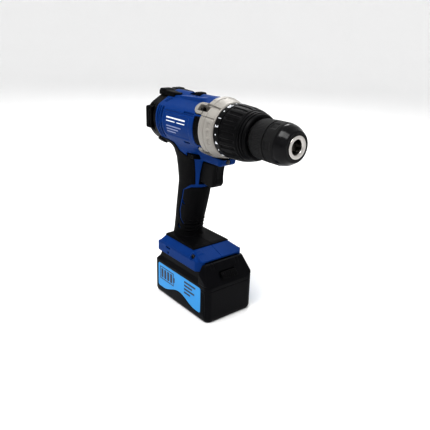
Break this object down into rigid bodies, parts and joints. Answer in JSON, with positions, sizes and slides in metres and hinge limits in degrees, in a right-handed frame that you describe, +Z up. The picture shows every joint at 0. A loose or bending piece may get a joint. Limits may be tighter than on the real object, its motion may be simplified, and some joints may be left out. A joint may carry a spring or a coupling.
{
  "type": "cordless drill",
  "caption": "Pistol-grip cordless drill driver with keyless chuck, clutch collar, trigger and a slide-on battery pack.",
  "frame": {"origin": "middle of the battery pack's bottom face", "axes": "+X out of the chuck along the spindle, +Y to the left of the tool, +Z up from the battery to the barrel"},
  "size_m": [0.2293, 0.075, 0.2743],
  "materials": {
    "blue_plastic": "satin",
    "black_plastic": "satin",
    "battery_plastic": "satin",
    "soft_rubber": "matte",
    "cast_metal": "satin",
    "chuck_plastic": "satin",
    "chuck_steel": "satin",
    "steel": "satin",
    "dark_screw": "satin",
    "copper": "satin",
    "carbon": "matte",
    "red_insulation": "gloss",
    "black_insulation": "gloss",
    "cell_wrap": "gloss",
    "light_lens": "gloss"
  },
  "bodies": {
    "housing": {"housing_right": "blue_plastic", "housing_left": "blue_plastic", "rear_cap": "black_plastic", "top_bumper": "soft_rubber", "grip_right": "soft_rubber", "grip_left": "soft_rubber", "gear_case": "cast_metal", "case_screw_1": "dark_screw", "case_screw_2": "dark_screw", "case_screw_3": "dark_screw", "case_screw_4": "dark_screw", "housing_screw_1": "dark_screw", "housing_screw_2": "dark_screw", "housing_screw_3": "dark_screw", "housing_screw_4": "dark_screw", "collar_retainer": "black_plastic", "clutch_spring": "steel", "ring_gear": "steel", "gearbox_plate": "steel", "spindle_bearing": "steel", "motor_can": "steel", "motor_end_cap": "black_plastic", "brush_left": "carbon", "brush_right": "carbon", "switch_module": "black_plastic", "terminal_block": "black_plastic", "supply_lead_red": "red_insulation", "supply_lead_black": "black_insulation", "motor_lead_red": "red_insulation", "motor_lead_black": "black_insulation", "work_light": "light_lens"},
    "rotor": {"armature_core": "copper", "motor_shaft": "steel", "commutator": "copper", "cooling_fan": "black_plastic", "motor_pinion": "steel"},
    "carrier": {"planet_carrier": "steel"},
    "spindle": {"output_spindle": "steel", "chuck_body": "chuck_steel", "chuck_rear_sleeve": "chuck_plastic", "chuck_screw": "chuck_steel"},
    "chuck_sleeve": {"chuck_front_sleeve": "chuck_plastic"},
    "collar": {"clutch_collar": "black_plastic"},
    "trigger": {"trigger": "black_plastic"},
    "direction_lever": {"direction_lever": "black_plastic"},
    "speed_selector": {"speed_selector": "black_plastic"},
    "battery": {"battery_tub": "battery_plastic", "battery_cover": "battery_plastic", "cell_block": "cell_wrap"},
    "battery_button": {"battery_button": "battery_plastic"},
    "planet_1_1": {"planet_1_1": "steel"},
    "planet_1_2": {"planet_1_2": "steel"},
    "planet_1_3": {"planet_1_3": "steel"},
    "planet_2_1": {"planet_2_1": "steel"},
    "planet_2_2": {"planet_2_2": "steel"},
    "planet_2_3": {"planet_2_3": "steel"},
    "jaw_1": {"jaw_1": "chuck_steel"},
    "jaw_2": {"jaw_2": "chuck_steel"},
    "jaw_3": {"jaw_3": "chuck_steel"}
  },
  "joints": [
    {"name": "motor_spin", "type": "hinge", "parent": "housing", "child": "rotor", "pos_m": [-0.053, 0, 0.2385], "axis": [1, 0, 0], "continuous": true},
    {"name": "carrier_spin", "type": "hinge", "parent": "housing", "child": "carrier", "pos_m": [0.008, 0, 0.2385], "axis": [1, 0, 0], "continuous": true},
    {"name": "spindle_spin", "type": "hinge", "parent": "housing", "child": "spindle", "pos_m": [0.09, 0, 0.2385], "axis": [1, 0, 0], "continuous": true},
    {"name": "planet_1_1_spin", "type": "hinge", "parent": "carrier", "child": "planet_1_1", "pos_m": [0.0015, 0.0135, 0.2385], "axis": [1, 0, 0], "continuous": true},
    {"name": "planet_1_2_spin", "type": "hinge", "parent": "carrier", "child": "planet_1_2", "pos_m": [0.0015, -0.00675, 0.25019], "axis": [1, 0, 0], "continuous": true},
    {"name": "planet_1_3_spin", "type": "hinge", "parent": "carrier", "child": "planet_1_3", "pos_m": [0.0015, -0.00675, 0.22681], "axis": [1, 0, 0], "continuous": true},
    {"name": "planet_2_1_spin", "type": "hinge", "parent": "spindle", "child": "planet_2_1", "pos_m": [0.015, 0.0135, 0.2385], "axis": [1, 0, 0], "continuous": true},
    {"name": "planet_2_2_spin", "type": "hinge", "parent": "spindle", "child": "planet_2_2", "pos_m": [0.015, -0.00675, 0.25019], "axis": [1, 0, 0], "continuous": true},
    {"name": "planet_2_3_spin", "type": "hinge", "parent": "spindle", "child": "planet_2_3", "pos_m": [0.015, -0.00675, 0.22681], "axis": [1, 0, 0], "continuous": true},
    {"name": "chuck_sleeve_turn", "type": "hinge", "parent": "spindle", "child": "chuck_sleeve", "pos_m": [0.125, 0, 0.2385], "axis": [1, 0, 0], "range_deg": [0, 2880]},
    {"name": "jaw_1_slide", "type": "slide", "parent": "spindle", "child": "jaw_1", "axis": [0.9659, 0, -0.2588], "range_m": [0, 0.0225]},
    {"name": "jaw_2_slide", "type": "slide", "parent": "spindle", "child": "jaw_2", "axis": [0.9659, 0.2241, 0.1294], "range_m": [0, 0.0225]},
    {"name": "jaw_3_slide", "type": "slide", "parent": "spindle", "child": "jaw_3", "axis": [0.9659, -0.2241, 0.1294], "range_m": [0, 0.0225]},
    {"name": "collar_turn", "type": "hinge", "parent": "housing", "child": "collar", "pos_m": [0.07, 0, 0.2385], "axis": [1, 0, 0], "range_deg": [0, 300]},
    {"name": "trigger_pull", "type": "slide", "parent": "housing", "child": "trigger", "axis": [-1, 0, 0], "range_m": [0, 0.007], "stiffness_N_per_m": 1500, "springref_m": -0.002},
    {"name": "direction_slide", "type": "slide", "parent": "housing", "child": "direction_lever", "axis": [0, 1, 0], "range_m": [-0.003, 0.003]},
    {"name": "speed_slide", "type": "slide", "parent": "housing", "child": "speed_selector", "axis": [-1, 0, 0], "range_m": [0, 0.009]},
    {"name": "battery_slide", "type": "slide", "parent": "housing", "child": "battery", "axis": [1, 0, 0], "range_m": [0, 0.1]},
    {"name": "release_press", "type": "slide", "parent": "battery", "child": "battery_button", "axis": [-1, 0, 0], "range_m": [0, 0.0035], "stiffness_N_per_m": 1500, "springref_m": -0.002}
  ],
  "couplings": [
    {"joint": "carrier_spin", "follows": "motor_spin", "ratio": 0.2},
    {"joint": "spindle_spin", "follows": "motor_spin", "ratio": 0.04},
    {"joint": "planet_1_1_spin", "follows": "motor_spin", "ratio": -0.53333},
    {"joint": "planet_1_2_spin", "follows": "motor_spin", "ratio": -0.53333},
    {"joint": "planet_1_3_spin", "follows": "motor_spin", "ratio": -0.53333},
    {"joint": "planet_2_1_spin", "follows": "motor_spin", "ratio": -0.10667},
    {"joint": "planet_2_2_spin", "follows": "motor_spin", "ratio": -0.10667},
    {"joint": "planet_2_3_spin", "follows": "motor_spin", "ratio": -0.10667},
    {"joint": "jaw_2_slide", "follows": "jaw_1_slide", "ratio": 1},
    {"joint": "jaw_3_slide", "follows": "jaw_1_slide", "ratio": 1},
    {"joint": "chuck_sleeve_turn", "follows": "jaw_1_slide", "rad_per_m": 2234}
  ]
}
